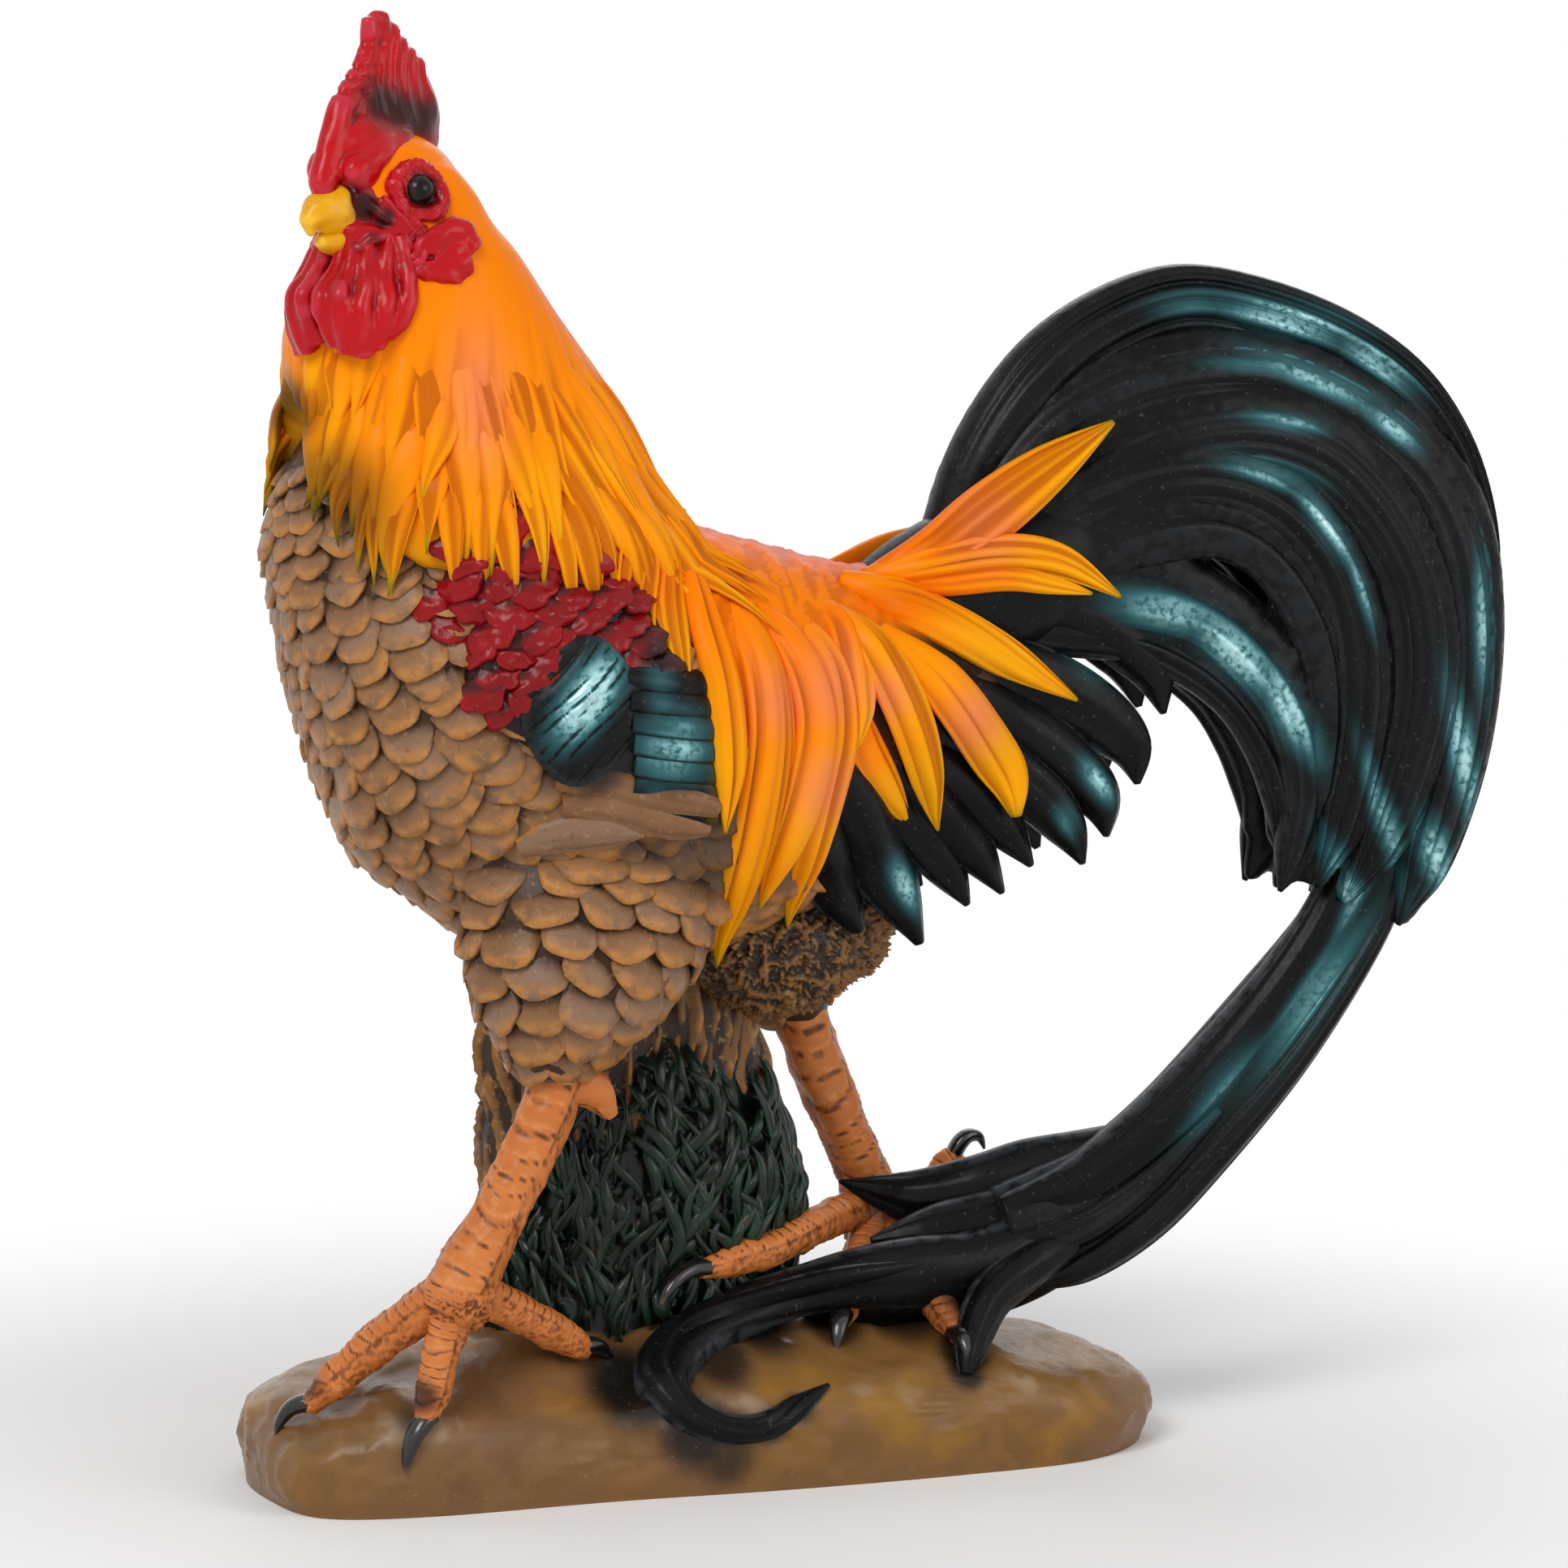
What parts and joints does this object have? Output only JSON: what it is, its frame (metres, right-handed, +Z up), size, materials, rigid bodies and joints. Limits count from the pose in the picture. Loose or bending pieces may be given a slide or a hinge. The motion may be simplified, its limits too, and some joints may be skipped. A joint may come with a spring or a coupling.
{
  "type": "rooster statuette",
  "caption": "Free-standing painted cast-resin rooster striding over a rock base, with a tree stump under the body and a tall sickle tail that curls down to the rock.",
  "frame": {"origin": "on the flat underside of the base, below the middle of the figure", "axes": "+Z up; -X is the way the rooster walks; -Y is its left side, the side that the picture shows"},
  "size_m": [0.3775, 0.1236, 0.396],
  "materials": {
    "rock": "satin",
    "plate": "matte",
    "bark": "matte",
    "grass": "matte",
    "breast": "satin",
    "fluff": "matte",
    "gold": "satin",
    "crimson": "gloss",
    "wine": "satin",
    "beak": "satin",
    "eye": "gloss",
    "black": "satin",
    "teal": "satin",
    "leg": "satin",
    "claw": "gloss",
    "steel": "satin"
  },
  "bodies": {
    "root": {"base_plate": "plate", "base_rock": "rock", "beak_lower": "beak", "beak_upper": "beak", "belly_fluff": "fluff", "body": "breast", "claw_left_hind": "claw", "claw_left_inner": "claw", "claw_left_middle": "claw", "claw_left_outer": "claw", "claw_right_hind": "claw", "claw_right_inner": "claw", "claw_right_middle": "claw", "claw_right_outer": "claw", "comb": "crimson", "earlobe_left": "crimson", "earlobe_right": "crimson", "eye_left": "eye", "eye_right": "eye", "eye_ring_left": "crimson", "eye_ring_right": "crimson", "foot_left": "leg", "foot_right": "leg", "grass_tuft_1": "grass", "grass_tuft_2": "grass", "grass_tuft_3": "grass", "hackle": "gold", "head": "gold", "leg_left": "leg", "leg_right": "leg", "leg_rod_left": "steel", "leg_rod_right": "steel", "long_sickle": "black", "saddle_left": "gold", "saddle_right": "gold", "sickle_inner_left": "teal", "sickle_inner_right": "teal", "sickle_lower_left": "black", "sickle_lower_right": "black", "sickle_middle_left": "black", "sickle_middle_right": "black", "sickle_top": "black", "strand_ankle": "black", "strand_curled": "black", "strand_short": "black", "stump": "bark", "tail_core": "black", "tail_coverts_left": "black", "tail_coverts_right": "black", "thigh_left": "breast", "thigh_right": "breast", "wattle_left": "crimson", "wattle_right": "crimson", "wing_flights_left": "teal", "wing_flights_right": "teal", "wing_left": "wine", "wing_right": "wine"}
  },
  "joints": []
}
